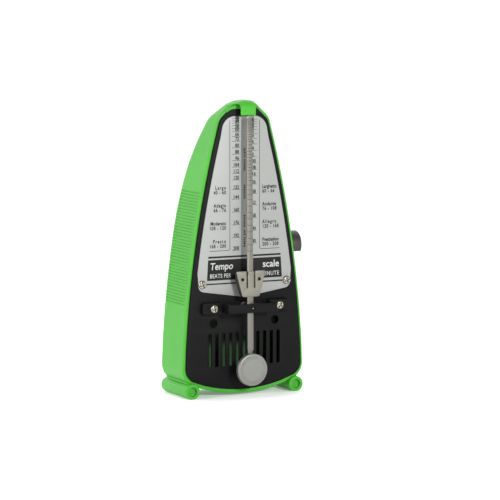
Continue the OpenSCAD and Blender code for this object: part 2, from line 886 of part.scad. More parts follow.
module front_bar()
    color(steel) from_dial()
        difference() {
            union() {
                translate([-23.5, plate_back, pivot_z - 3])
                    cube([47, bar_t, 6]);
                for (x = [left_plate_x, right_plate_x - 3])
                    translate([x, plate_back, pivot_z - 3])
                        cube([3, 8, 6]);
            }
            bar_y(0, pivot_z, pendulum_arbor_r + gap, 0, 10, fine);
            for (side = [-1, 1])
                bar_y(side * bridge_screw_x, pivot_z, 1, 0, 10, small);
            for (x = [left_plate_x, right_plate_x - 3])
                bar_x(7, pivot_z, 0.9, x - 1, x + 4, small);
        }

module rear_bar()
    color(steel) from_dial()
        difference() {
            translate([left_plate_x, 18.5, pivot_z - 2.5])
                cube([right_plate_x - left_plate_x, 4, 5]);
            bar_y(0, pivot_z, pendulum_arbor_r + gap, 15, 19.5, fine);
            for (x = [left_plate_x, right_plate_x - 3])
                bar_x(20.5, pivot_z, 0.9, x - 1, x + 4, small);
        }

module spring_post()
    color(steel) from_dial()
        bar_x(post_y, key_z, post_r, left_plate_x - frame_t, 3);

module arbor_bushes()
    color(brass) from_dial()
        for (x = [left_plate_x - frame_t, right_plate_x])
            difference() {
                bar_x(key_y, key_z, bush_r, x, x + frame_t, fine);
                bar_x(key_y, key_z, arbor_r + gap, x - 1, x + 3, fine);
            }

module bar_screws()
    color(steel) from_dial()
        for (y = [7, 20.5]) {
            bar_x(y, pivot_z, 0.9, left_plate_x - frame_t, left_plate_x + 3);
            bar_x(y, pivot_z, 1.7, left_plate_x - frame_t - 1, left_plate_x - frame_t);
            bar_x(y, pivot_z, 0.9, right_plate_x - 3, right_plate_x + frame_t);
            bar_x(y, pivot_z, 1.7, right_plate_x + frame_t, right_plate_x + frame_t + 1);
        }

housing();
front_plate();
scale_plate();
dial_screws();
bridge();
bridge_screws();
bridge_bush();
pendulum_rod();
pendulum_hub();
hub_screw();
pendulum_arbor();
pallets();
bob();
bob_rivet();
slider_body();
slider_face();
slider_rivets();
winding_key();
key_screw();
winding_arbor();
ratchet_wheel();
great_wheel();
click();
click_stud();
click_spring();
mainspring();
second_arbor();
second_pinion();
second_wheel();
escape_arbor();
escape_pinion();
escape_wheel();
left_frame_plate();
right_frame_plate();
frame_pillars();
frame_nuts();
front_bar();
rear_bar();
arbor_bushes();
bar_screws();
spring_post();
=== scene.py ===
"""Looks of the pocket metronome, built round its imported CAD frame."""

import json
import math

import bmesh
import bpy
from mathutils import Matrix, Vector

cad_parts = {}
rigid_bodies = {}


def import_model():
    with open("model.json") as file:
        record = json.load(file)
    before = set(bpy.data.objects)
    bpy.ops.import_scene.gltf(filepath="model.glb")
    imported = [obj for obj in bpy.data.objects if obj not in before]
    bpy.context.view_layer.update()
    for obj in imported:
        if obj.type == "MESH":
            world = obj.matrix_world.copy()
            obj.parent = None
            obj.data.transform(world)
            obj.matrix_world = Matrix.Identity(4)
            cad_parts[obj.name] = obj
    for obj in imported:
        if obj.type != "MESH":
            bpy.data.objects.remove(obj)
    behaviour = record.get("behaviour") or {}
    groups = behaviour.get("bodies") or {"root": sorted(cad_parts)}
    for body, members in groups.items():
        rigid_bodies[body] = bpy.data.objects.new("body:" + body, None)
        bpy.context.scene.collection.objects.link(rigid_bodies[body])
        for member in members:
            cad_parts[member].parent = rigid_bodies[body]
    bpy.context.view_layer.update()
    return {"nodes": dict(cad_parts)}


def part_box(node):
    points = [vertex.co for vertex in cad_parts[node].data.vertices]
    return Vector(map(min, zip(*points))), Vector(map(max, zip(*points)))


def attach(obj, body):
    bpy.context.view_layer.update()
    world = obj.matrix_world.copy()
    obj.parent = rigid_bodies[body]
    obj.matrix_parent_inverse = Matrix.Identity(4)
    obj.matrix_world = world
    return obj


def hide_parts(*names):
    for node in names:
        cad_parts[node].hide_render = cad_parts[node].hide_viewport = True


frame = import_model()

# ---- measures ---------------------------------------------------------------------------
# Lengths are millimetres in the dial's own frame: X to the right, Y back from the dial's
# front face, Z up from the table. spot() turns them into the frame's metres.

MM = 0.001
DIAL_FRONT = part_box("scale_plate")[0].y

PLATE_FRONT = (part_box("front_plate")[0].y - DIAL_FRONT) / MM
PLATE_BACK = (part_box("front_plate")[1].y - DIAL_FRONT) / MM
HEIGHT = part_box("housing")[1].z / MM
FOOT_BACK = (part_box("housing")[1].y - DIAL_FRONT) / MM

BASE_HALF = 35.2
WIDEST_Z = -4.9
SIDE_BOW = 570.0
FLOOR_BOW = 83.0
FLOOR_LOW = 3.5
ROOF_BOW = 12.8
RIM = 1.6
RIM_RISE = 1.4
RIM_FRONT = PLATE_FRONT + 1.0
RIM_EDGE = 0.8
ROOF_TOP = HEIGHT - RIM * RIM_RISE
WALL = 2.0
CASE_DEPTH = 31.0
BACK_BEND_Z = 88.0
BACK_BOW = 161.0
CROWN_Z = 135.0
CROWN_BOW = 100.0
BACK_EDGE = 3.5
CROWN_EDGE = 4.3
CROWN_EDGE_Z = 118.0
CROWN_EDGE_RISE = 40.0
CAP_INSET = 0.1
INNER_EDGE_LESS = 1.6
INNER_EDGE = 0.25
GROOVE_FRONT = 3.0
GROOVE_FADE = 0.35

GROOVES = 38
GROOVE_PITCH = 1.61
GROOVE_Z = 51.0
GROOVE_DEPTH = 0.4

FOOT_X = 31.3
FOOT_Z = 4.0
FOOT_R = 4.2
FOOT_FRONT = -0.4
SOCKET_R = 2.5
SOCKET_DEPTH = 1.8

PIVOT_Z = 48.6
ROD_LEAN = math.radians(0.7)
ROD_FRONT = 6.65
ROD_W = 3.5
ROD_T = 0.6
ROD_TOP = 151.8
ROD_END = 25.3
BOB_R = 8.8
BOB_Z = 15.2
BOB_BACK = -7.2
BOB_T = 2.9

DIAL_BORDER = 2.45
DIAL_TOP = 151.5
DIAL_TIP = 53.7
DIAL_SCREW = (25.4, 61.6)
BRIDGE_SCREW_X = 19.7
BRIDGE_FRONT = -10.5
HAT_HALF = 14.5
HAT_LOW = 46.2
HAT_HIGH = 51.0
EAR_FRONT = -2.7
ARBOR_FRONT = (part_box("pendulum_arbor")[0].y - DIAL_FRONT) / MM
ARBOR_BACK = (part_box("pendulum_arbor")[1].y - DIAL_FRONT) / MM

KEY_Y = 12.5
KEY_Z = 79.8
KEY_R = 7.3
KEY_FLAT = 3.6
KEY_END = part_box("winding_key")[1].x / MM


def spot(x, y, z):
    """A point of the dial's frame, in the frame's metres."""
    return (x * MM, y * MM + DIAL_FRONT, z * MM)


def linear(r, g, b):
    """The linear colour of an sRGB colour of 0 to 255."""
    def channel(c):
        c /= 255
        return c / 12.92 if c <= 0.04045 else ((c + 0.055) / 1.055) ** 2.4
    return (channel(r), channel(g), channel(b), 1.0)


# ---- camera -----------------------------------------------------------------------------

SENSOR = 36.0
CAMERA_TURN = math.radians(26.8)
CAMERA_PITCH = math.radians(6.16)
CAMERA_AWAY = 1.3
CAMERA_LENS = 173.5
CAMERA_AIM = Vector(spot(3.21, 0, 79.0))


def make_camera():
    look = Vector((math.sin(CAMERA_TURN) * math.cos(CAMERA_PITCH),
                   math.cos(CAMERA_TURN) * math.cos(CAMERA_PITCH),
                   -math.sin(CAMERA_PITCH)))
    data = bpy.data.cameras.new("camera")
    data.lens = CAMERA_LENS
    data.sensor_width = SENSOR
    data.clip_start = 0.05
    data.clip_end = 20
    camera = bpy.data.objects.new("camera", data)
    bpy.context.scene.collection.objects.link(camera)
    camera.location = CAMERA_AIM - look * CAMERA_AWAY
    camera.rotation_euler = look.to_track_quat("-Z", "Y").to_euler()
    bpy.context.scene.camera = camera


make_camera()

# ---- materials --------------------------------------------------------------------------


class Shader:
    """A node material on a Principled shader, with short calls for its parts."""

    def __init__(self, name, color, roughness, metallic=0.0, **sockets):
        self.material = bpy.data.materials.new(name)
        self.material.use_nodes = True
        self.tree = self.material.node_tree
        self.bsdf = self.tree.nodes["Principled BSDF"]
        self.bsdf.inputs["Base Color"].default_value = color
        self.bsdf.inputs["Roughness"].default_value = roughness
        self.bsdf.inputs["Metallic"].default_value = metallic
        for socket, value in sockets.items():
            self.bsdf.inputs[socket.replace("_", " ")].default_value = value
        self.bumps = None
        self.place = self.node("ShaderNodeTexCoord").outputs["Object"]

    def node(self, kind, **values):
        made = self.tree.nodes.new(kind)
        for key, value in values.items():
            if hasattr(made, key):
                setattr(made, key, value)
            else:
                made.inputs[key.replace("_", " ")].default_value = value
        return made

    def link(self, source, target):
        self.tree.links.new(source, target)

    def stretched(self, x, y, z):
        """Object coordinates scaled along each axis, so that grain runs one way."""
        mapping = self.node("ShaderNodeMapping")
        mapping.inputs["Scale"].default_value = (x, y, z)
        self.link(self.place, mapping.inputs["Vector"])
        return mapping.outputs["Vector"]

    def noise(self, scale, detail=3.0, rough=0.5, place=None):
        made = self.node("ShaderNodeTexNoise", Scale=scale, Detail=detail, Roughness=rough)
        self.link(place or self.place, made.inputs["Vector"])
        return made.outputs["Fac"]

    def ramp(self, source, low, high, low_value, high_value):
        made = self.node("ShaderNodeMapRange")
        made.inputs["From Min"].default_value = low
        made.inputs["From Max"].default_value = high
        made.inputs["To Min"].default_value = low_value
        made.inputs["To Max"].default_value = high_value
        self.link(source, made.inputs["Value"])
        return made.outputs["Result"]

    def tint(self, source, low_color, high_color):
        made = self.node("ShaderNodeMix", data_type="RGBA")
        self.link(source, made.inputs["Factor"])
        made.inputs[6].default_value = low_color
        made.inputs[7].default_value = high_color
        self.link(made.outputs[2], self.bsdf.inputs["Base Color"])
        return made

    def gloss(self, source, low, high, low_value, high_value):
        self.link(self.ramp(source, low, high, low_value, high_value),
                  self.bsdf.inputs["Roughness"])

    def bump(self, source, strength, distance):
        made = self.node("ShaderNodeBump", Strength=strength, Distance=distance)
        self.link(source, made.inputs["Height"])
        if self.bumps:
            self.link(self.bumps, made.inputs["Normal"])
        self.bumps = made.outputs["Normal"]
        self.link(self.bumps, self.bsdf.inputs["Normal"])


def scaled(color, factor):
    return tuple(min(1.0, c * factor) for c in color[:3]) + (1.0,)


def green_plastic():
    color = linear(61, 151, 40)
    s = Shader("green_plastic", color, 0.36, IOR=1.5, Specular_IOR_Level=0.25)
    clouds = s.noise(60, 4)
    s.tint(s.ramp(clouds, 0.3, 0.7, 0, 1), scaled(color, 0.965), scaled(color, 1.035))
    s.gloss(s.noise(900, 3), 0.3, 0.7, 0.32, 0.42)
    s.bump(s.noise(5200, 2), 0.12, 0.00004)
    s.bump(s.noise(140, 2), 0.05, 0.0004)
    return s.material


# Darker copy of the case green for the inner faces: painted shade inside the case.
def green_inside():
    s = Shader("green_inside", linear(32, 76, 26), 0.6)
    s.gloss(s.noise(700, 3), 0.3, 0.7, 0.52, 0.68)
    s.bump(s.noise(4000, 2), 0.15, 0.00005)
    return s.material


def black_plastic():
    color = linear(13, 13, 14)
    s = Shader("black_plastic", color, 0.42, Specular_IOR_Level=0.1)
    s.tint(s.ramp(s.noise(90, 4), 0.3, 0.7, 0, 1), scaled(color, 0.88), scaled(color, 1.12))
    s.gloss(s.noise(1500, 4), 0.3, 0.7, 0.36, 0.5)
    s.bump(s.noise(6500, 2), 0.22, 0.00003)
    return s.material


def dial_metal():
    color = linear(143, 145, 142)
    s = Shader("dial_metal", color, 0.42, 0.2, Specular_IOR_Level=0.3)
    grain = s.noise(1, 3, 0.6, s.stretched(9000, 300, 350))
    s.tint(s.ramp(grain, 0.25, 0.75, 0, 1), scaled(color, 0.955), scaled(color, 1.03))
    s.gloss(grain, 0.3, 0.7, 0.38, 0.48)
    s.bump(grain, 0.06, 0.00002)
    return s.material


def printing_ink():
    s = Shader("printing_ink", linear(15, 15, 16), 0.5, Specular_IOR_Level=0.2)
    s.gloss(s.noise(2500, 2), 0.3, 0.7, 0.42, 0.6)
    return s.material


def white_ink():
    s = Shader("white_ink", linear(178, 180, 176), 0.45)
    s.gloss(s.noise(2500, 2), 0.3, 0.7, 0.4, 0.55)
    return s.material


def brushed(name, color, roughness, grain, strength=0.1, metallic=0.9):
    """Metal with fine scratches that run along the axis with the smallest grain scale."""
    s = Shader(name, color, roughness, metallic)
    lines = s.noise(1, 4, 0.6, s.stretched(*grain))
    s.tint(s.ramp(lines, 0.25, 0.75, 0, 1), scaled(color, 0.87), scaled(color, 1.1))
    s.gloss(lines, 0.25, 0.75, roughness - 0.07, roughness + 0.1)
    s.bump(lines, strength, 0.00003)
    return s.material


def blasted(name, color, roughness, metallic=0.85):
    """Fine grained cast or tumbled metal."""
    s = Shader(name, color, roughness, metallic)
    grain = s.noise(3800, 4, 0.6)
    s.tint(s.ramp(grain, 0.3, 0.7, 0, 1), scaled(color, 0.85), scaled(color, 1.12))
    s.gloss(s.noise(700, 3), 0.3, 0.7, roughness - 0.06, roughness + 0.1)
    s.bump(grain, 0.25, 0.00005)
    return s.material


def key_plastic():
    color = linear(60, 58, 53)
    s = Shader("key_plastic", color, 0.36, 0.55, Specular_IOR_Level=0.5)
    s.tint(s.ramp(s.noise(160, 4), 0.3, 0.7, 0, 1), scaled(color, 0.88), scaled(color, 1.1))
    s.gloss(s.noise(1200, 3), 0.3, 0.7, 0.34, 0.5)
    s.bump(s.noise(5000, 2), 0.2, 0.00004)
    return s.material


GREEN = green_plastic()
PAINTED_SHADE_GREEN = green_inside()
BLACK = black_plastic()
DIAL = dial_metal()
INK = printing_ink()
WHITE_INK = white_ink()
ROD = brushed("rod_steel", linear(113, 111, 103), 0.38, (5200, 5200, 160), 0.08, 0.75)
FACE = blasted("weight_steel", linear(120, 118, 108), 0.42, 0.7)
WEIGHT = blasted("weight_cast", linear(58, 56, 52), 0.5, 0.6)
BOB = blasted("bob_metal", linear(130, 131, 126), 0.4, 0.75)
SCREW = brushed("screw_nickel", linear(158, 154, 142), 0.22, (2500, 2500, 2500), 0.05, 0.95)
BRASS = brushed("brass", linear(201, 162, 84), 0.3, (400, 5000, 5000), 0.08, 0.95)
BLUED = brushed("blued_steel", linear(58, 66, 92), 0.28, (600, 3500, 3500), 0.06, 0.9)
FRAME_METAL = brushed("frame_metal", linear(176, 176, 170), 0.36, (4000, 4000, 260), 0.1, 0.85)
KEY = key_plastic()

# ---- mesh helpers -----------------------------------------------------------------------


def finish_piece(name, mesh, material, body, replaces=(), sharp=32):
    """Cleans a mesh that is in the frame's metres, shades it and makes it a piece."""
    work = bmesh.new()
    work.from_mesh(mesh)
    bmesh.ops.remove_doubles(work, verts=work.verts, dist=1e-7)
    bmesh.ops.recalc_face_normals(work, faces=work.faces)
    work.to_mesh(mesh)
    work.free()
    mesh.shade_smooth()
    mesh.set_sharp_from_angle(angle=math.radians(sharp))
    obj = bpy.data.objects.new(name, mesh)
    bpy.context.scene.collection.objects.link(obj)
    mesh.materials.clear()
    mesh.materials.append(material)
    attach(obj, body)
    for node in replaces:
        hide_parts(node)
    return obj


def joined(meshes):
    """One mesh out of several."""
    work = bmesh.new()
    for mesh in meshes:
        work.from_mesh(mesh)
    result = bpy.data.meshes.new("joined")
    work.to_mesh(result)
    work.free()
    return result


def tube_rings(rings, close_start=True, close_end=True, offset=0):
    """Faces between rings of equal length, each a closed loop."""
    n = len(rings[0])
    faces = []
    for j in range(len(rings) - 1):
        for i in range(n):
            k = (i + 1) % n
            faces.append((offset + j * n + i, offset + j * n + k,
                          offset + (j + 1) * n + k, offset + (j + 1) * n + i))
    if close_start:
        faces.append(tuple(offset + i for i in range(n)))
    if close_end:
        faces.append(tuple(offset + (len(rings) - 1) * n + i for i in range(n)))
    return faces


def plate_mesh(loops, front, back, edge=0.15, steps=3, lean=None):
    """A flat plate with rounded edges from outlines in X and Z; later loops are holes."""
    curve = bpy.data.curves.new("plate", "CURVE")
    curve.dimensions = "2D"
    curve.fill_mode = "BOTH"
    curve.extrude = max(0.0, (back - front) / 2 - edge)
    curve.bevel_depth = edge
    curve.bevel_resolution = steps
    curve.offset = -edge
    for loop in loops:
        spline = curve.splines.new("POLY")
        spline.points.add(len(loop) - 1)
        for point, (x, z) in zip(spline.points, loop):
            point.co = (x, z, 0, 1)
        spline.use_cyclic_u = True
    obj = bpy.data.objects.new("plate", curve)
    bpy.context.scene.collection.objects.link(obj)
    bpy.context.view_layer.update()
    mesh = bpy.data.meshes.new_from_object(
        obj.evaluated_get(bpy.context.evaluated_depsgraph_get()))
    bpy.data.objects.remove(obj)
    bpy.data.curves.remove(curve)
    middle = (front + back) / 2
    for vertex in mesh.vertices:
        x, z, depth = vertex.co
        point = (x, middle - depth, z)
        vertex.co = spot(*(lean(point) if lean else point))
    return mesh


def lathe_mesh(profile, centre, axis, turns=64, ring=False):
    """A surface of revolution; profile is (along the axis, radius) in millimetres.

    A ring's profile closes on itself, so it has no end faces.
    """
    verts, faces = [], []
    for along, radius in profile:
        for i in range(turns):
            a = 2 * math.pi * i / turns
            u, v = radius * math.cos(a), radius * math.sin(a)
            offset = {"x": (along, u, v), "y": (u, along, v), "z": (u, v, along)}[axis]
            verts.append(spot(*(c + o for c, o in zip(centre, offset))))
    rings = [verts[i * turns:(i + 1) * turns] for i in range(len(profile))]
    faces = tube_rings(rings, not ring, not ring)
    if ring:
        last = (len(profile) - 1) * turns
        faces += [(last + i, last + (i + 1) % turns, (i + 1) % turns, i) for i in range(turns)]
    mesh = bpy.data.meshes.new("lathe")
    mesh.from_pydata(verts, [], faces)
    mesh.validate()
    return mesh


def box_mesh(low, high):
    xs, ys, zs = zip(low, high)
    verts = [spot(x, y, z) for x in xs for y in ys for z in zs]
    faces = [(0, 1, 3, 2), (4, 6, 7, 5), (0, 4, 5, 1), (2, 3, 7, 6), (0, 2, 6, 4), (1, 5, 7, 3)]
    mesh = bpy.data.meshes.new("box")
    mesh.from_pydata(verts, [], faces)
    return mesh


def cut(mesh, tools, operation="DIFFERENCE"):
    """Booleans each tool mesh with the mesh, and returns the result."""
    scene = bpy.context.scene.collection.objects
    base = bpy.data.objects.new("base", mesh)
    scene.link(base)
    helpers = []
    for tool in tools:
        work = bmesh.new()
        work.from_mesh(tool)
        bmesh.ops.recalc_face_normals(work, faces=work.faces)
        work.to_mesh(tool)
        work.free()
        helper = bpy.data.objects.new("tool", tool)
        scene.link(helper)
        helpers.append(helper)
        modifier = base.modifiers.new("cut", "BOOLEAN")
        modifier.object = helper
        modifier.operation = operation
        modifier.solver = "EXACT"
    bpy.context.view_layer.update()
    result = bpy.data.meshes.new_from_object(
        base.evaluated_get(bpy.context.evaluated_depsgraph_get()))
    for obj in [base] + helpers:
        bpy.data.objects.remove(obj)
    return result


def bevelled(mesh, width, segments=3, angle=35):
    """The mesh with its sharp edges rounded."""
    obj = bpy.data.objects.new("bevel", mesh)
    bpy.context.scene.collection.objects.link(obj)
    modifier = obj.modifiers.new("bevel", "BEVEL")
    modifier.width = width * MM
    modifier.segments = segments
    modifier.limit_method = "ANGLE"
    modifier.angle_limit = math.radians(angle)
    modifier.harden_normals = False
    bpy.context.view_layer.update()
    result = bpy.data.meshes.new_from_object(
        obj.evaluated_get(bpy.context.evaluated_depsgraph_get()))
    bpy.data.objects.remove(obj)
    return result


def circle(x, z, radius, steps=40):
    return [(x + radius * math.cos(2 * math.pi * i / steps),
             z + radius * math.sin(2 * math.pi * i / steps)) for i in range(steps)]


def rounded_rectangle(low_x, low_z, high_x, high_z, radius, steps=6):
    points = []
    corners = [(high_x - radius, high_z - radius, 0), (low_x + radius, high_z - radius, 90),
               (low_x + radius, low_z + radius, 180), (high_x - radius, low_z + radius, 270)]
    for x, z, start in corners:
        for i in range(steps + 1):
            a = math.radians(start + 90 * i / steps)
            points.append((x + radius * math.cos(a), z + radius * math.sin(a)))
    return points


def rounded_corner(a, b, c, radius, steps):
    """Points of the arc that rounds the corner at b between a and c."""
    a, b, c = Vector(a), Vector(b), Vector(c)
    u, v = (a - b).normalized(), (c - b).normalized()
    half = u.angle(v) / 2
    centre = b + (u + v).normalized() * radius / math.sin(half)
    start = b + u * radius / math.tan(half) - centre
    end = b + v * radius / math.tan(half) - centre
    turn = math.atan2(start.x * end.y - start.y * end.x, start.dot(end))
    points = []
    for i in range(steps + 1):
        t = turn * i / steps
        points.append((centre.x + start.x * math.cos(t) - start.y * math.sin(t),
                       centre.y + start.x * math.sin(t) + start.y * math.cos(t)))
    return points


def span(start, end, steps):
    """Evenly spaced values from start to end, both included."""
    return [start + (end - start) * i / steps for i in range(steps + 1)]


# ---- outline of the front ---------------------------------------------------------------


def side_x(z, inset=0.0):
    return BASE_HALF - inset - (z - WIDEST_Z) ** 2 / (2 * SIDE_BOW)


def floor_z(x, inset=0.0):
    return FLOOR_LOW + RIM_RISE * inset + x * x / (2 * (FLOOR_BOW - inset))


def roof_z(x, inset=0.0):
    return ROOF_TOP - RIM_RISE * inset - x * x / (2 * (ROOF_BOW - inset))


def back_y(z):
    return (CASE_DEPTH - max(0.0, z - BACK_BEND_Z) ** 2 / (2 * BACK_BOW)
            - max(0.0, z - CROWN_Z) ** 2 / (2 * CROWN_BOW))


GROOVE_TOP = GROOVE_Z + GROOVES * GROOVE_PITCH
GROOVE_PROFILE = [(-0.44, 0.0), (-0.3, 0.75), (-0.22, 1.0), (0.22, 1.0), (0.3, 0.75), (0.44, 0.0)]


def half_outline(inset, grooved=False):
    """Right half of the outline, from the middle of the floor to the middle of the roof."""
    corner = (side_x(11, inset), floor_z(side_x(11, inset), inset))
    shoulder_z = 149.4 - 0.7 * inset
    shoulder = (side_x(shoulder_z, inset), shoulder_z)
    side_levels = span(26, GROOVE_Z - 1, 10)
    if grooved:
        for i in range(GROOVES):
            centre = GROOVE_Z + i * GROOVE_PITCH
            side_levels += [centre + offset for offset, _ in GROOVE_PROFILE]
    else:
        side_levels += span(GROOVE_Z, GROOVE_TOP, 20)
    side_levels += span(GROOVE_TOP + 1, 138, 12)
    return (
        [(x, floor_z(x, inset)) for x in span(0, 24, 16)]
        + rounded_corner((24, floor_z(24, inset)), corner,
                         (side_x(26, inset), 26), 8 - inset, 16)
        + [(side_x(z, inset), z) for z in side_levels]
        + rounded_corner((side_x(138, inset), 138), shoulder,
                         (8, roof_z(8, inset)), 6.5 - inset, 10)
        + [(x, roof_z(x, inset)) for x in span(8, 0, 10)]
    )


def mirrored(half):
    """The whole outline of a right half that starts and ends at X = 0."""
    return half + [(-x, z) for x, z in half[-2:0:-1]]


def outline(inset=0.0, grooved=False):
    return mirrored(half_outline(inset, grooved))


# ---- case -------------------------------------------------------------------------------


def groove_dip(z):
    """Depth of the side grooves at height z, before it fades at their two ends."""
    number = round((z - GROOVE_Z) / GROOVE_PITCH)
    if not 0 <= number < GROOVES:
        return 0.0
    offset = z - GROOVE_Z - number * GROOVE_PITCH
    for (z0, deep0), (z1, deep1) in zip(GROOVE_PROFILE, GROOVE_PROFILE[1:]):
        if z0 - 1e-6 <= offset <= z1 + 1e-6:
            return GROOVE_DEPTH * (deep0 + (deep1 - deep0) * (offset - z0) / (z1 - z0))
    return 0.0


def back_edge(z):
    """Radius of the rounded edge round the back; it grows over the crown."""
    share = min(1.0, max(0.0, (z - CROWN_EDGE_Z) / CROWN_EDGE_RISE))
    return BACK_EDGE + CROWN_EDGE * share * share * (3 - 2 * share)


DRAW_IN = 6.0
OUTER = outline(-RIM, grooved=True)
OUTER_DRAWN_IN = outline(-RIM + DRAW_IN, grooved=True)


def drawn_in(point, inner_point, inset):
    """A point of the outer outline, moved in by inset."""
    share = inset / DRAW_IN
    return tuple(a + (b - a) * share for a, b in zip(point, inner_point))


def case_ring(inset_of, depth_of, dip=0.0):
    """One loop round the case: inset and Y for each height; dip lets in the grooves."""
    ring = []
    for point, inner_point in zip(OUTER, OUTER_DRAWN_IN):
        level = point[1]
        x, z = drawn_in(point, inner_point, inset_of(level))
        shrink = dip * groove_dip(level) if abs(x) > 15 else 0.0
        ring.append((x - math.copysign(shrink, x), depth_of(level), z))
    return ring


def case_cap(ring, offset):
    """Faces that close the back between mirrored points of a ring."""
    n = len(ring)
    faces = [(offset, offset + 1, offset + n - 1)]
    for i in range(1, n // 2 - 1):
        faces.append((offset + i, offset + i + 1, offset + n - i - 1, offset + n - i))
    faces.append((offset + n // 2 - 1, offset + n // 2, offset + n // 2 + 1))
    return faces


def edge_rings(rings, radius_of, inset, depth, turns):
    """Rings round the back edge, where the wall turns into the back."""
    for turn in turns:
        c, n = math.cos(math.radians(turn)), math.sin(math.radians(turn))
        rings.append(case_ring(lambda z: inset + radius_of(z) * (1 - c),
                               lambda z: back_y(z) - depth - radius_of(z) * (1 - n)))


def groove_rings(rings):
    """Rings along the side walls, from the back edge to the front one."""
    def back_end(z):
        return back_y(z) - back_edge(z) - 0.3

    def wall(share, dip):
        rings.append(case_ring(lambda z: 0.0, lambda z: (1 - share(z)) * back_end(z)
                               + share(z) * GROOVE_FRONT, dip))
    wall(lambda z: 0.0, 0.0)
    wall(lambda z: GROOVE_FADE / (back_end(z) - GROOVE_FRONT), 1.0)
    for middle in (0.25, 0.5, 0.75):
        wall(lambda z: middle, 1.0)
    wall(lambda z: 1 - GROOVE_FADE / (back_end(z) - GROOVE_FRONT), 1.0)
    wall(lambda z: 1.0, 0.0)


def rim_rings(rings):
    """Rings over the rim: its rounded outer edge, its face and its inner edge."""
    for turn in span(0, 90, 6):
        c, n = math.cos(math.radians(turn)), math.sin(math.radians(turn))
        rings.append(case_ring(lambda z: RIM_EDGE * (1 - c),
                               lambda z: RIM_FRONT + RIM_EDGE * (1 - n)))
    for turn in span(0, 90, 3):
        c, n = math.cos(math.radians(turn)), math.sin(math.radians(turn))
        rings.append(case_ring(lambda z: RIM - 0.1 - INNER_EDGE * (1 - n),
                               lambda z: RIM_FRONT + INNER_EDGE * (1 - c)))
    rings.append(case_ring(lambda z: RIM - 0.1, lambda z: PLATE_BACK))


def case_rings():
    """Rings of the case, from the middle of the back, over the rim and into the case."""
    rings = [case_ring(lambda z: back_edge(z) + CAP_INSET, back_y)]
    edge_rings(rings, back_edge, 0.0, 0.0, span(90, 0, 10))
    groove_rings(rings)
    rim_rings(rings)
    edge_rings(rings, lambda z: back_edge(z) - INNER_EDGE_LESS, RIM - 0.1, WALL, span(0, 90, 5))
    return rings


def case_shell():
    rings = case_rings()
    verts = [p for ring in rings for p in ring]
    faces = tube_rings(rings, close_start=False, close_end=False)
    faces += case_cap(rings[0], 0)
    faces += case_cap(rings[-1], (len(rings) - 1) * len(rings[0]))
    mesh = bpy.data.meshes.new("case")
    mesh.from_pydata([spot(*v) for v in verts], [], faces)
    work = bmesh.new()
    work.from_mesh(mesh)
    bmesh.ops.recalc_face_normals(work, faces=work.faces)
    work.to_mesh(mesh)
    work.free()
    return mesh


def foot_mesh(side):
    """One foot tube: shallow round recess in front, rounded ends, and flat where it stands."""
    lip, end = 0.35, 1.4
    back = FOOT_BACK
    turns = [math.radians(t) for t in span(0, 90, 6)]
    floor = FOOT_FRONT + SOCKET_DEPTH
    profile = [(floor, 0.01), (floor, SOCKET_R - 0.25), (floor - 0.08, SOCKET_R - 0.07),
               (floor - 0.25, SOCKET_R)]
    profile += [(FOOT_FRONT + lip * (1 - math.sin(t)),
                 SOCKET_R + lip * (1 - math.cos(t))) for t in turns]
    profile += [(FOOT_FRONT + lip * (1 - math.cos(t)),
                 FOOT_R - lip * (1 - math.sin(t))) for t in turns]
    profile += [(back - end * (1 - math.sin(t)),
                 FOOT_R - end * (1 - math.cos(t))) for t in turns]
    profile += [(back, 0.01)]
    mesh = lathe_mesh(profile, (side * FOOT_X, 0, FOOT_Z), "y", 96)
    for vertex in mesh.vertices:
        vertex.co.z = max(vertex.co.z, 0.0)
    return mesh


def web_mesh(side):
    """Small web between a foot tube and the corner of the case."""
    loop = [(side * x, z) for x, z in
            [(28.2, 7.4), (29.5, 5), (32.6, 5), (33, 8), (33, 10.5), (29, 12)]]
    return plate_mesh([loop], RIM_FRONT + 0.8, back_y(8) - 1.2, 0.3, 3)


HOOD_FRONT = -5.1
HOOD_LOW = 152.0
HOOD_T = 0.85
HOOD_BEND = 4.2


def hood_path():
    """Outer line of the hood in Y and height below the roof, from the rim to its lower end."""
    centre_y = HOOD_FRONT + HOOD_BEND
    path = [(y, 0.0) for y in span(RIM_FRONT + 1.8, centre_y, 7)]
    path += [(centre_y - HOOD_BEND * math.sin(math.radians(t)),
              HOOD_BEND * (1 - math.cos(math.radians(t)))) for t in span(9, 90, 9)]
    top = roof_z(0, -RIM)
    path += [(HOOD_FRONT, drop) for drop in span(HOOD_BEND + 0.6, top - HOOD_LOW, 5)]
    return path


def hood_point(y, drop, across):
    """A point of the hood's outer face; across runs from 0 on the left to 1 on the right."""
    top = roof_z(0, -RIM)
    down = drop / (top - HOOD_LOW)
    back = max(0.0, (y - HOOD_FRONT) / (RIM_FRONT + 1.8 - HOOD_FRONT))
    left = -4.6 - 5.4 * back ** 1.6
    right = 4.2 + 2.6 * back ** 2.2
    x = left + (right - left) * across
    sag = (top - roof_z(x, -RIM)) * (1 - down) ** 1.5
    return (x, y, top - drop - sag - 0.03)


def hood_normal(path, i):
    """Unit vector in Y and Z that points into the hood at a step of its path."""
    (y0, d0), (y1, d1) = path[max(0, i - 1)], path[min(len(path) - 1, i + 1)]
    along = Vector((y1 - y0, d0 - d1)).normalized()
    return Vector((-along.y, along.x))


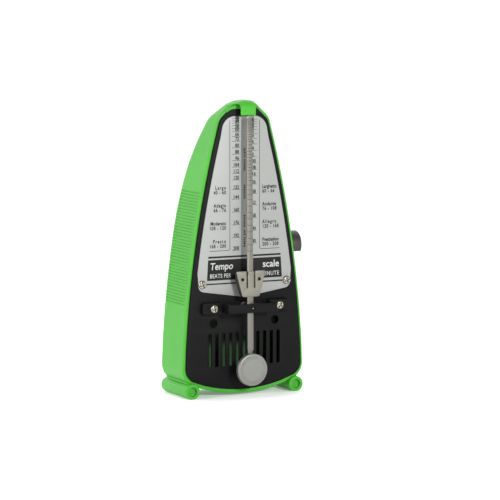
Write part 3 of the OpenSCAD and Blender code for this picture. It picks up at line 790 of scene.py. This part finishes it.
def hood_mesh():
    """The tab that bends down out of the roof, in front of the dial."""
    path, steps = hood_path(), 24
    verts = []
    for depth in (0.0, HOOD_T):
        for i, (y, drop) in enumerate(path):
            inward = hood_normal(path, i) * depth
            for j in range(steps + 1):
                x, py, pz = hood_point(y, drop, j / steps)
                verts.append((x, py + inward.x, pz + inward.y))
    rows, width = len(path), steps + 1
    layer = rows * width
    faces = []
    for i in range(rows - 1):
        for j in range(steps):
            a = i * width + j
            faces.append((a, a + 1, a + width + 1, a + width))
            faces.append((layer + a, layer + a + width, layer + a + width + 1, layer + a + 1))
    border = ([j for j in range(width)] + [i * width + steps for i in range(1, rows)]
              + [(rows - 1) * width + j for j in range(steps - 1, -1, -1)]
              + [i * width for i in range(rows - 2, 0, -1)])
    for a, b in zip(border, border[1:] + border[:1]):
        faces.append((a, b, layer + b, layer + a))
    mesh = bpy.data.meshes.new("hood")
    mesh.from_pydata([spot(*v) for v in verts], [], faces)
    work = bmesh.new()
    work.from_mesh(mesh)
    bmesh.ops.recalc_face_normals(work, faces=work.faces)
    work.to_mesh(mesh)
    work.free()
    return bevelled(mesh, 0.25, 3, 50)


def hood_root():
    """The thicker part of the rim that the hood grows out of."""
    low = [(-10.4, 153.4), (-8.8, 154.6), (-7.2, 155.15), (-5.4, 155.3), (3.4, 155.3),
           (5.0, 155.6), (6.4, 155.9)]
    high = [(x, roof_z(x, -0.6)) for x in span(6.8, -10.8, 16)]
    return plate_mesh([low + high], 0.15, RIM_FRONT + 0.9, 0.25, 3)


def make_case():
    shell = case_shell()
    key_hole = lathe_mesh([(24, 0.01), (24, KEY_R + 0.5), (42, KEY_R + 0.5), (42, 0.01)],
                          (0, KEY_Y, KEY_Z), "x", 96)
    shell = cut(shell, [key_hole])
    new = finish_piece("case_shell", shell, GREEN, "case", ["housing"])
    fix_inside(new)
    for side, label in ((-1, "left"), (1, "right")):
        foot = joined([foot_mesh(side), web_mesh(side)])
        piece = finish_piece("case_foot_" + label, foot, GREEN, "case")
        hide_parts("housing")
    hood = finish_piece("case_hood", joined([hood_mesh(), hood_root()]), GREEN, "case")
    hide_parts("housing")
    return new


CORE_LOW = 40.0
CORE_HIGH = 120.0


def fix_inside(obj):
    """Gives the inner faces, which look towards the middle of the case, a darker and duller green; the
    darker colour is painted shade.
    """
    obj.data.materials.append(PAINTED_SHADE_GREEN)
    low_y = DIAL_FRONT + (PLATE_BACK - 0.1) * MM
    for polygon in obj.data.polygons:
        centre = polygon.center
        level = min(CORE_HIGH, max(CORE_LOW, centre.z / MM))
        core = Vector(spot(0, back_y(level) / 2, level))
        if centre.y > low_y and polygon.normal.dot(centre - core) < 0:
            polygon.material_index = 1


make_case()

# ---- front plate and dial ---------------------------------------------------------------

SLOTS = 11
SLOT_PITCH = 4.12
SLOT_W = 1.9
SLOT_LOW = 16.5
SLOT_HIGH = 34.5
SOUND_HOLE_X = 18.5
SOUND_HOLE_Z = 40.2
SOUND_HOLE_R = 2.3
ARBOR_HOLE_R = 2.5
PLATE_THINNER = 0.8


def make_front_plate():
    loops = [outline(0.0)]
    for i in range(SLOTS):
        x = (i - (SLOTS - 1) / 2) * SLOT_PITCH
        loops.append(rounded_rectangle(x - SLOT_W / 2, SLOT_LOW, x + SLOT_W / 2, SLOT_HIGH, 0.25))
    for side in (-1, 1):
        loops.append(circle(side * SOUND_HOLE_X, SOUND_HOLE_Z, SOUND_HOLE_R))
    loops.append(circle(0, PIVOT_Z, ARBOR_HOLE_R))
    mesh = plate_mesh(loops, PLATE_FRONT, PLATE_BACK - PLATE_THINNER, 0.25, 3)
    finish_piece("front_cover_plate", mesh, BLACK, "case", ["front_plate"])


def dial_outline():
    corner = (side_x(57.5, DIAL_BORDER) - 2, 57.9)
    shoulder = (side_x(149.8, DIAL_BORDER) + 0.45, DIAL_TOP)
    return mirrored(
        [(0, DIAL_TIP)]
        + rounded_corner((0, DIAL_TIP), corner, (side_x(66, DIAL_BORDER), 66), 3.8, 14)
        + [(side_x(z, DIAL_BORDER), z) for z in span(68, 140, 24)]
        + rounded_corner((side_x(140, DIAL_BORDER), 140), shoulder, (0, DIAL_TOP), 8, 18)
        + [(0, DIAL_TOP)]
    )


def make_dial():
    mesh = plate_mesh([dial_outline()], 0.0, PLATE_FRONT, 0.08, 2)
    finish_piece("dial_sheet", mesh, DIAL, "case", ["scale_plate"])


make_front_plate()
make_dial()

# ---- printing on the dial ---------------------------------------------------------------

PRINT_LIFT = 0.02
LEFT_MARKS = [40, 44, 48, 52, 56, 60, 66, 72, 80, 88, 96, 104, 112, 120, 132, 144, 160,
              176, 192, 208]
RIGHT_MARKS = [42, 46, 50, 54, 58, 63, 69, 76, 84, 92, 100, 108, 116, 126, 138, 152, 168,
               184, 200]
FASTEST = 208
MARK_LOW = 79.2
MM_PER_BEAT = 0.432


def mark_z(beats):
    """Height of the scale line for a tempo: even steps that close up at the slow end."""
    return MARK_LOW + MM_PER_BEAT * (FASTEST - beats) - 0.0045 * max(0, 60 - beats) ** 2


def flat_mesh(loop, lift=PRINT_LIFT):
    """A flat printed shape, just in front of the dial."""
    mesh = bpy.data.meshes.new("print")
    mesh.from_pydata([spot(x, -lift, z) for x, z in loop], [], [tuple(range(len(loop)))])
    return mesh


def line_mesh(x0, z0, x1, z1, width, lift=PRINT_LIFT):
    along = Vector((x1 - x0, z1 - z0)).normalized() * width / 2
    side = Vector((-along.y, along.x))
    return flat_mesh([(x0 + side.x, z0 + side.y), (x0 - side.x, z0 - side.y),
                      (x1 - side.x, z1 - side.y), (x1 + side.x, z1 + side.y)], lift)


def text_mesh(words, x, z, height, align="LEFT", width=1.0, spacing=1.0, turn=0,
              bold=0.0, lean=0.0, lift=PRINT_LIFT):
    """Flat lettering; z is its base line, height the height of its capitals."""
    curve = bpy.data.curves.new("text", "FONT")
    curve.body = words
    curve.align_x = align
    curve.size = height / 0.72
    curve.space_character = spacing
    curve.offset = bold
    curve.shear = lean
    curve.resolution_u = 3
    obj = bpy.data.objects.new("text", curve)
    bpy.context.scene.collection.objects.link(obj)
    bpy.context.view_layer.update()
    mesh = bpy.data.meshes.new_from_object(
        obj.evaluated_get(bpy.context.evaluated_depsgraph_get()))
    bpy.data.objects.remove(obj)
    bpy.data.curves.remove(curve)
    c, s = math.cos(math.radians(turn)), math.sin(math.radians(turn))
    for vertex in mesh.vertices:
        u, v = vertex.co.x * width, vertex.co.y
        vertex.co = spot(x + u * c - v * s, -lift, z + u * s + v * c)
    return mesh


def finish_print(name, meshes, material):
    mesh = joined(meshes)
    obj = bpy.data.objects.new(name, mesh)
    bpy.context.scene.collection.objects.link(obj)
    mesh.materials.clear()
    mesh.materials.append(material)
    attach(obj, "case")
    return obj


TEMPO_WORDS = [
    (-11.2, 109.8, "Largo", "40 - 60", "RIGHT", 1.3),
    (-11.2, 100.3, "Adagio", "66 - 76", "RIGHT", 1.2),
    (-11.2, 90.7, "Moderato", "108 - 120", "RIGHT", 1.05),
    (-11.2, 81.0, "Presto", "168 - 200", "RIGHT", 1.35),
    (10.6, 109.8, "Larghetto", "60 - 66", "LEFT", 1.0),
    (10.6, 100.3, "Andante", "76 - 108", "LEFT", 1.1),
    (10.6, 90.7, "Allegro", "120 - 168", "LEFT", 1.3),
    (10.6, 81.0, "Prestissimo", "200 - 208", "LEFT", 0.98),
]


def make_print():
    black, white = [], []
    for beats in LEFT_MARKS:
        z = mark_z(beats)
        black.append(text_mesh(str(beats), -3.4, z + 0.32, 1.95, "RIGHT", 0.86, bold=0.08))
        black.append(line_mesh(-7.6, z, -2.9, z, 0.2))
    for beats in RIGHT_MARKS:
        z = mark_z(beats)
        black.append(text_mesh(str(beats), 3.2, z + 0.32, 1.95, "LEFT", 0.86, bold=0.08))
        black.append(line_mesh(2.9, z, 7.4, z, 0.2))
    for side in (-1, 1):
        black.append(line_mesh(side * 8.9, 80.6, side * 8.9, 149.2, 0.28))
        bend = [(side * (8.9 + 1.2 * (1 - math.cos(math.radians(t)))),
                 80.6 - 1.2 * math.sin(math.radians(t))) for t in span(0, 90, 6)]
        for (x0, z0), (x1, z1) in zip(bend, bend[1:]):
            black.append(line_mesh(x0, z0, x1, z1, 0.28))
        black.append(line_mesh(side * 10.1, 79.4, side * 21.0, 79.4, 0.28))
    for x, z, word, beats, align, spacing in TEMPO_WORDS:
        black.append(text_mesh(word, x, z + 2.5, 1.95, align, 0.82, spacing, bold=0.085))
        black.append(text_mesh(beats, x, z, 1.95, align, 0.82, 1.15, bold=0.08))
    for z, words in ((81, "beats per minute"), (107, "strokes"), (122, "tempo scale")):
        black.append(text_mesh(words, 0.4, z, 1.5, "LEFT", 0.95, 1.25, turn=90, bold=0.075))
    black.append(line_mesh(-21.8, 76.0, 21.8, 76.0, 1.0))
    black.append(flat_mesh([(-22.6, 63.5), (22.6, 63.5), (21.9, 74.6), (-21.9, 74.6)]))
    black.append(line_mesh(-23.0, 61.6, 23.0, 61.6, 0.75))
    lift = 2 * PRINT_LIFT
    white.append(text_mesh("Tempo", -20.9, 69.3, 3.8, "LEFT", 0.9, bold=0.07, lean=0.15, lift=lift))
    white.append(text_mesh("scale", 20.9, 69.4, 3.8, "RIGHT", 0.98, bold=0.07, lift=lift))
    white.append(text_mesh("BEATS PER", -20.9, 64.8, 2.3, "LEFT", 0.78, 1.1, bold=0.02, lift=lift))
    white.append(text_mesh("MINUTE", 20.9, 64.8, 2.3, "RIGHT", 0.84, 1.15, bold=0.02, lift=lift))
    finish_print("dial_print", black, INK)
    finish_print("dial_lettering", white, WHITE_INK)


make_print()

# ---- screws -----------------------------------------------------------------------------


def screw_mesh(x, z, radius, head_front, seat, turn):
    """Pan head with a cross recess, in front of seat."""
    dome = seat - head_front
    profile = [(seat, 0.01), (seat, radius), (seat - 0.35 * dome, radius)]
    profile += [(seat - dome * (0.35 + 0.65 * math.sin(math.radians(t))),
                 radius * (0.62 + 0.38 * math.cos(math.radians(t)))) for t in span(10, 90, 7)]
    profile += [(head_front, 0.01)]
    mesh = lathe_mesh(profile, (x, 0, z), "y", 56)
    arm, half, deep = radius * 0.67, radius * 0.16, dome * 0.82
    cuts = []
    for quarter in (0, 90):
        a = math.radians(turn + quarter)
        verts = []
        for depth, shrink in ((-0.2, 1.25), (deep, 0.55)):
            for u, v in ((-1, -1), (1, -1), (1, 1), (-1, 1)):
                du, dv = u * arm * shrink, v * half * (1.2 if shrink > 1 else 0.7)
                verts.append(spot(x + du * math.cos(a) - dv * math.sin(a), head_front + depth,
                                  z + du * math.sin(a) + dv * math.cos(a)))
        tool = bpy.data.meshes.new("cross")
        tool.from_pydata(verts, [], [(0, 1, 2, 3), (7, 6, 5, 4), (0, 4, 5, 1), (1, 5, 6, 2),
                                     (2, 6, 7, 3), (3, 7, 4, 0)])
        cuts.append(tool)
    return cut(mesh, cuts)


def make_screws():
    heads = [screw_mesh(s * DIAL_SCREW[0], DIAL_SCREW[1], 2.3, -1.2, 0.0, 20) for s in (-1, 1)]
    finish_piece("dial_screw_heads", joined(heads), SCREW, "case", ["dial_screws"])
    heads = [screw_mesh(s * BRIDGE_SCREW_X, PIVOT_Z, 2.2, -3.9, EAR_FRONT, 35 + 20 * s)
             for s in (-1, 1)]
    finish_piece("bridge_screw_heads", joined(heads), SCREW, "case",
                 ["bridge_screws"])


make_screws()

# ---- bridge -----------------------------------------------------------------------------


def make_bridge():
    """One moulding: two ears on the front plate and a raised bar over the hub."""
    parts = []
    for side in (-1, 1):
        inner, outer = 13.6, 26.2
        ear = rounded_rectangle(min(side * inner, side * outer), PIVOT_Z - 3.1,
                                max(side * inner, side * outer), PIVOT_Z + 3.1, 1.0)
        parts.append(plate_mesh([ear, circle(side * BRIDGE_SCREW_X, PIVOT_Z, 1.2)],
                                EAR_FRONT, PLATE_FRONT, 0.25, 3))
    wall = 1.5
    bar = cut(box_mesh((-HAT_HALF, BRIDGE_FRONT, HAT_LOW), (HAT_HALF, PLATE_FRONT, HAT_HIGH)),
              [box_mesh((-HAT_HALF + wall, BRIDGE_FRONT + wall, HAT_LOW - 2),
                        (HAT_HALF - wall, 5, HAT_HIGH + 2))])
    bar = bevelled(bar, 0.4, 4)
    hole = lathe_mesh([(-14, 0.01), (-14, 1.3), (-7, 1.3), (-7, 0.01)], (0, 0, PIVOT_Z), "y", 48)
    bar = cut(bar, [hole])
    parts.append(bar)
    finish_piece("bridge_moulding", joined(parts), BLACK, "case", ["bridge"])


def make_arbor():
    """Turned arbor with a thin pivot at each end."""
    front, back = ARBOR_FRONT, ARBOR_BACK
    profile = [(front, 0.01), (front, 0.3), (front + 0.05, 0.35), (front + 1.0, 0.35),
               (front + 1.3, 0.8), (back - 1.0, 0.8), (back - 0.8, 0.5), (back, 0.45),
               (back, 0.01)]
    mesh = lathe_mesh(profile, (0, 0, PIVOT_Z), "y", 40)
    finish_piece("arbor_turned", mesh, SCREW, "pendulum", ["pendulum_arbor"])


make_bridge()
make_arbor()

# ---- pendulum ---------------------------------------------------------------------------


def leaned(point):
    """Turns a point about the pendulum axis, so that upright shapes follow the rod."""
    x, y, z = point
    up = z - PIVOT_Z
    c, s = math.cos(ROD_LEAN), math.sin(ROD_LEAN)
    return (x, -ROD_FRONT + y * c + up * s, PIVOT_Z - y * s + up * c)


def make_rod():
    """Flat rod, notched at every scale line, with a joggled end that carries the bob."""
    lows, half, notch = ROD_END, ROD_W / 2, 0.16
    marks = sorted(mark_z(b) for b in LEFT_MARKS + RIGHT_MARKS)
    right = []
    for z in marks:
        right += [(half, z - 0.22), (half - notch, z - 0.08), (half - notch, z + 0.08),
                  (half, z + 0.22)]
    loop = ([(-half + 0.3, lows), (half - 0.3, lows), (half, lows + 0.3)] + right
            + [(half, ROD_TOP - 0.8), (half - 0.8, ROD_TOP), (-half + 0.8, ROD_TOP),
               (-half, ROD_TOP - 0.8)]
            + [(-x, z) for x, z in right[::-1]] + [(-half, lows + 0.3)])
    strip = plate_mesh([loop], -ROD_T / 2, ROD_T / 2, 0.08, 2, leaned)
    tang = rounded_rectangle(-1.4, BOB_Z - 3, 1.4, ROD_END + 0.4, 0.5)
    tang = plate_mesh([tang], 0.4 - ROD_T / 2, 0.4 + ROD_T / 2, 0.08, 2, leaned)
    rod = finish_piece("rod_strip", joined([strip, tang]), ROD, "pendulum",
                       ["pendulum_rod"])
    lines = []
    for z in marks:
        depth = -ROD_T / 2 - 0.012
        corners = [(-half + notch, z - 0.11), (half - notch, z - 0.11),
                   (half - notch, z + 0.11), (-half + notch, z + 0.11)]
        mesh = bpy.data.meshes.new("line")
        mesh.from_pydata([spot(*leaned((x, depth, h))) for x, h in corners], [], [(0, 1, 2, 3)])
        lines.append(mesh)
    mesh = joined(lines)
    obj = bpy.data.objects.new("rod_lines", mesh)
    bpy.context.scene.collection.objects.link(obj)
    mesh.materials.clear()
    mesh.materials.append(ENGRAVED)
    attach(obj, "pendulum")
    return rod


ENGRAVED = blasted("engraved_line", linear(44, 41, 37), 0.6, 0.3)


def make_bob():
    """Turned disc with a stepped rim; its face is plain."""
    front = BOB_BACK - BOB_T
    profile = [(BOB_BACK, 0.01), (BOB_BACK, BOB_R - 0.5)]
    profile += [(BOB_BACK - 0.4 * math.sin(math.radians(t)),
                 BOB_R - 0.4 + 0.4 * math.sin(math.radians(t))) for t in span(30, 90, 3)]
    profile += [(front + 0.7 - 0.7 * math.sin(math.radians(t)),
                 BOB_R - 0.7 + 0.7 * math.cos(math.radians(t))) for t in span(0, 90, 8)]
    profile += [(front, BOB_R - 1.25), (front + 0.12, BOB_R - 1.4), (front + 0.12, BOB_R - 1.75),
                (front + 0.02, BOB_R - 1.9), (front + 0.02, 6.5), (front + 0.1, 6.42),
                (front + 0.1, 6.28), (front + 0.02, 6.2), (front, 0.01)]
    mesh = lathe_mesh(profile, (0, 0, BOB_Z), "y", 128)
    finish_piece("bob_disc", mesh, BOB, "pendulum", ["bob"], 25)


make_rod()
make_bob()

# ---- sliding weight ---------------------------------------------------------------------

WEIGHT_TOP = 68.5
WEIGHT_LOW = 54.6
WEIGHT_HALF_TOP = 8.7
WEIGHT_HALF_LOW = 5.2
FACE_T = 0.8
FACE_BACK = -ROD_T / 2 - 0.05
SLOT_X = 2.2
SLOT_HALF = 0.45
SLOT_DEEP = 9.2


def weight_loop():
    """Face outline with its two slots, which leave a tongue between them."""
    low_x, top_x = WEIGHT_HALF_LOW, WEIGHT_HALF_TOP
    floor = WEIGHT_TOP - SLOT_DEEP

    def side(s):
        bottom = [(s * x, z) for x, z in rounded_corner(
            (0, WEIGHT_LOW), (low_x - 0.2, WEIGHT_LOW), (low_x + 0.5, WEIGHT_LOW + 2.2), 1.3, 6)]
        top = [(s * x, z) for x, z in rounded_corner(
            (low_x, WEIGHT_LOW + 1), (top_x + 0.1, WEIGHT_TOP), (0, WEIGHT_TOP), 0.7, 5)]
        slot = [(s * (SLOT_X + SLOT_HALF), WEIGHT_TOP), (s * (SLOT_X + SLOT_HALF), floor + 0.4)]
        slot += [(s * (SLOT_X + SLOT_HALF * math.cos(math.radians(t))),
                  floor + 0.4 - 0.4 * math.sin(math.radians(t))) for t in span(20, 160, 6)]
        slot += [(s * (SLOT_X - SLOT_HALF), floor + 0.4), (s * (SLOT_X - SLOT_HALF), WEIGHT_TOP - 1.1)]
        return bottom + top + slot
    right, left = side(1), side(-1)
    return right + left[::-1]


def lean_mesh(mesh):
    """Leans a mesh that was made upright, so that it follows the rod."""
    for vertex in mesh.vertices:
        x, y, z = vertex.co
        vertex.co = spot(*leaned((x / MM, (y - DIAL_FRONT) / MM, z / MM)))
    return mesh


def make_weight():
    """Pressed face with a tongue, and two hollow eyelets that hold it to the block; black plugs in the
    eyelets are painted shade in their holes.
    """
    rivets = [circle(s * 5.0, 64.0, 0.95, 24) for s in (-1, 1)]
    face = plate_mesh([weight_loop()] + rivets, FACE_BACK - FACE_T, FACE_BACK, 0.18, 3, leaned)
    finish_piece("weight_face", face, FACE, "weight", ["slider_face"])
    tongue = rounded_rectangle(-1.75, WEIGHT_TOP - 2.1, 1.75, WEIGHT_TOP - 0.1, 0.4)
    tip = plate_mesh([tongue], FACE_BACK - FACE_T - 0.35, FACE_BACK - FACE_T + 0.1, 0.15, 3, leaned)
    finish_piece("weight_tongue_tip", tip, FACE, "weight")
    front = FACE_BACK - FACE_T
    rings, shade_plugs = [], []
    for side in (-1, 1):
        profile = [(front, 0.86), (front - 0.12, 0.89), (front - 0.15, 0.94),
                   (front - 0.12, 1.0), (front - 0.02, 1.08), (front + 0.2, 1.08),
                   (front + 0.2, 0.92), (2.6, 0.92), (2.6, 0.86)]
        rings.append(lean_mesh(lathe_mesh(profile, (side * 5.0, 0, 64.0), "y", 40, ring=True)))
        # Black plugs inside the eyelet holes: painted shade in the depth of the holes.
        well = [(front + 0.9, 0.01), (front + 0.9, 0.85), (2.5, 0.85), (2.5, 0.01)]
        shade_plugs.append(lean_mesh(lathe_mesh(well, (side * 5.0, 0, 64.0), "y", 32)))
    finish_piece("weight_eyelets", joined(rings), FACE, "weight", ["slider_rivets"])
    finish_piece("weight_well_shade", joined(shade_plugs), BLACK, "weight")


make_weight()

# ---- winding key ------------------------------------------------------------------------


def make_key():
    """Round key with one flat, a rounded end and a screw well."""
    inner, end, edge = 28.0, KEY_END, 0.7
    profile = [(inner, 0.01), (inner, KEY_R)]
    profile += [(end - edge + edge * math.sin(math.radians(t)),
                 KEY_R - edge + edge * math.cos(math.radians(t))) for t in span(0, 90, 6)]
    profile += [(end, 2.3), (end - 0.3, 2.0), (end - 1.6, 1.9), (end - 1.6, 0.01)]
    mesh = lathe_mesh(profile, (0, KEY_Y, KEY_Z), "x", 96)
    mesh = cut(mesh, [box_mesh((20, KEY_Y - 20, KEY_Z - 30), (60, KEY_Y + 20, KEY_Z - KEY_FLAT))])
    mesh = bevelled(mesh, 0.35, 3, 40)
    stem = lathe_mesh([(16, 0.01), (16, 3.2), (28.5, 3.2), (28.5, 0.01)],
                      (0, KEY_Y, KEY_Z), "x", 48)
    finish_piece("key_body", joined([mesh, stem]), KEY, "key", ["winding_key"])


make_key()

# ---- finishes of the carried-over CAD nodes ---------------------------------------------

NODE_FINISH = {
    "bridge_bush": BLACK, "pendulum_hub": SCREW, "hub_screw": SCREW, "pendulum_arbor": SCREW,
    "pallets": BLUED, "bob_rivet": SCREW, "slider_body": WEIGHT, "slider_rivets": FACE,
    "key_screw": SCREW, "winding_arbor": SCREW, "ratchet_wheel": BRASS, "great_wheel": BRASS,
    "click": BLUED, "click_stud": SCREW, "click_spring": BLUED, "mainspring": BLUED,
    "second_arbor": SCREW, "second_pinion": SCREW, "second_wheel": BRASS,
    "escape_arbor": SCREW, "escape_pinion": SCREW, "escape_wheel": BRASS,
    "left_frame_plate": FRAME_METAL, "right_frame_plate": FRAME_METAL,
    "frame_pillars": BRASS, "frame_nuts": BRASS, "front_bar": FRAME_METAL,
    "rear_bar": FRAME_METAL, "arbor_bushes": BRASS, "bar_screws": SCREW, "spring_post": SCREW,
    "housing": GREEN, "front_plate": BLACK, "scale_plate": DIAL, "dial_screws": SCREW,
    "bridge": BLACK, "bridge_screws": SCREW, "pendulum_rod": ROD, "bob": BOB,
    "slider_face": FACE, "winding_key": KEY,
}

for name, node in frame["nodes"].items():
    node.data.materials.clear()
    node.data.materials.append(NODE_FINISH[name])

# ---- stage and light --------------------------------------------------------------------


def make_stage():
    s = Shader("studio_floor", (0.95, 0.95, 0.95, 1), 0.9, Specular_IOR_Level=0.1,
               Emission_Color=(1, 1, 1, 1), Emission_Strength=0.16)
    s.gloss(s.noise(8, 2), 0.3, 0.7, 0.85, 0.95)
    size = 100.0
    mesh = bpy.data.meshes.new("floor")
    mesh.from_pydata([(-size, -size, 0), (size, -size, 0), (size, size, 0), (-size, size, 0)],
                     [], [(0, 1, 2, 3)])
    mesh.materials.append(s.material)
    floor = bpy.data.objects.new("floor", mesh)
    floor.location.z = -0.0001
    bpy.context.scene.collection.objects.link(floor)


def area_light(name, place, aim, size, power, color=(1, 1, 1)):
    data = bpy.data.lights.new(name, "AREA")
    data.shape = "RECTANGLE"
    data.size, data.size_y = size
    data.energy = power
    data.color = color
    light = bpy.data.objects.new(name, data)
    bpy.context.scene.collection.objects.link(light)
    light.location = place
    light.rotation_euler = (Vector(aim) - Vector(place)).to_track_quat("-Z", "Y").to_euler()


def make_world():
    """A white room, brighter behind the object than in front of it."""
    world = bpy.data.worlds.new("studio")
    bpy.context.scene.world = world
    world.use_nodes = True
    tree = world.node_tree
    place = tree.nodes.new("ShaderNodeTexCoord")
    axes = tree.nodes.new("ShaderNodeSeparateXYZ")
    fade = tree.nodes.new("ShaderNodeMapRange")
    tree.links.new(place.outputs["Generated"], axes.inputs["Vector"])
    tree.links.new(axes.outputs["Y"], fade.inputs["Value"])
    fade.inputs["From Min"].default_value = -0.35
    fade.inputs["From Max"].default_value = 0.35
    fade.inputs["To Min"].default_value = 0.12
    fade.inputs["To Max"].default_value = 1.7
    tree.links.new(fade.outputs["Result"], tree.nodes["Background"].inputs["Strength"])
    tree.nodes["Background"].inputs["Color"].default_value = (1, 1, 1, 1)


def make_light():
    area_light("key_front", (0.1, -1.3, 0.5), (0, 0, 0.08), (0.07, 0.16), 16)
    area_light("fill_left", (-1.3, -0.05, 0.42), (0, 0, 0.08), (0.9, 0.9), 11)
    area_light("fill_right", (1.2, -0.7, 0.4), (0, 0, 0.08), (0.5, 0.5), 3.5)


make_world()
make_stage()
make_light()
bpy.context.scene.view_settings.view_transform = "Standard"
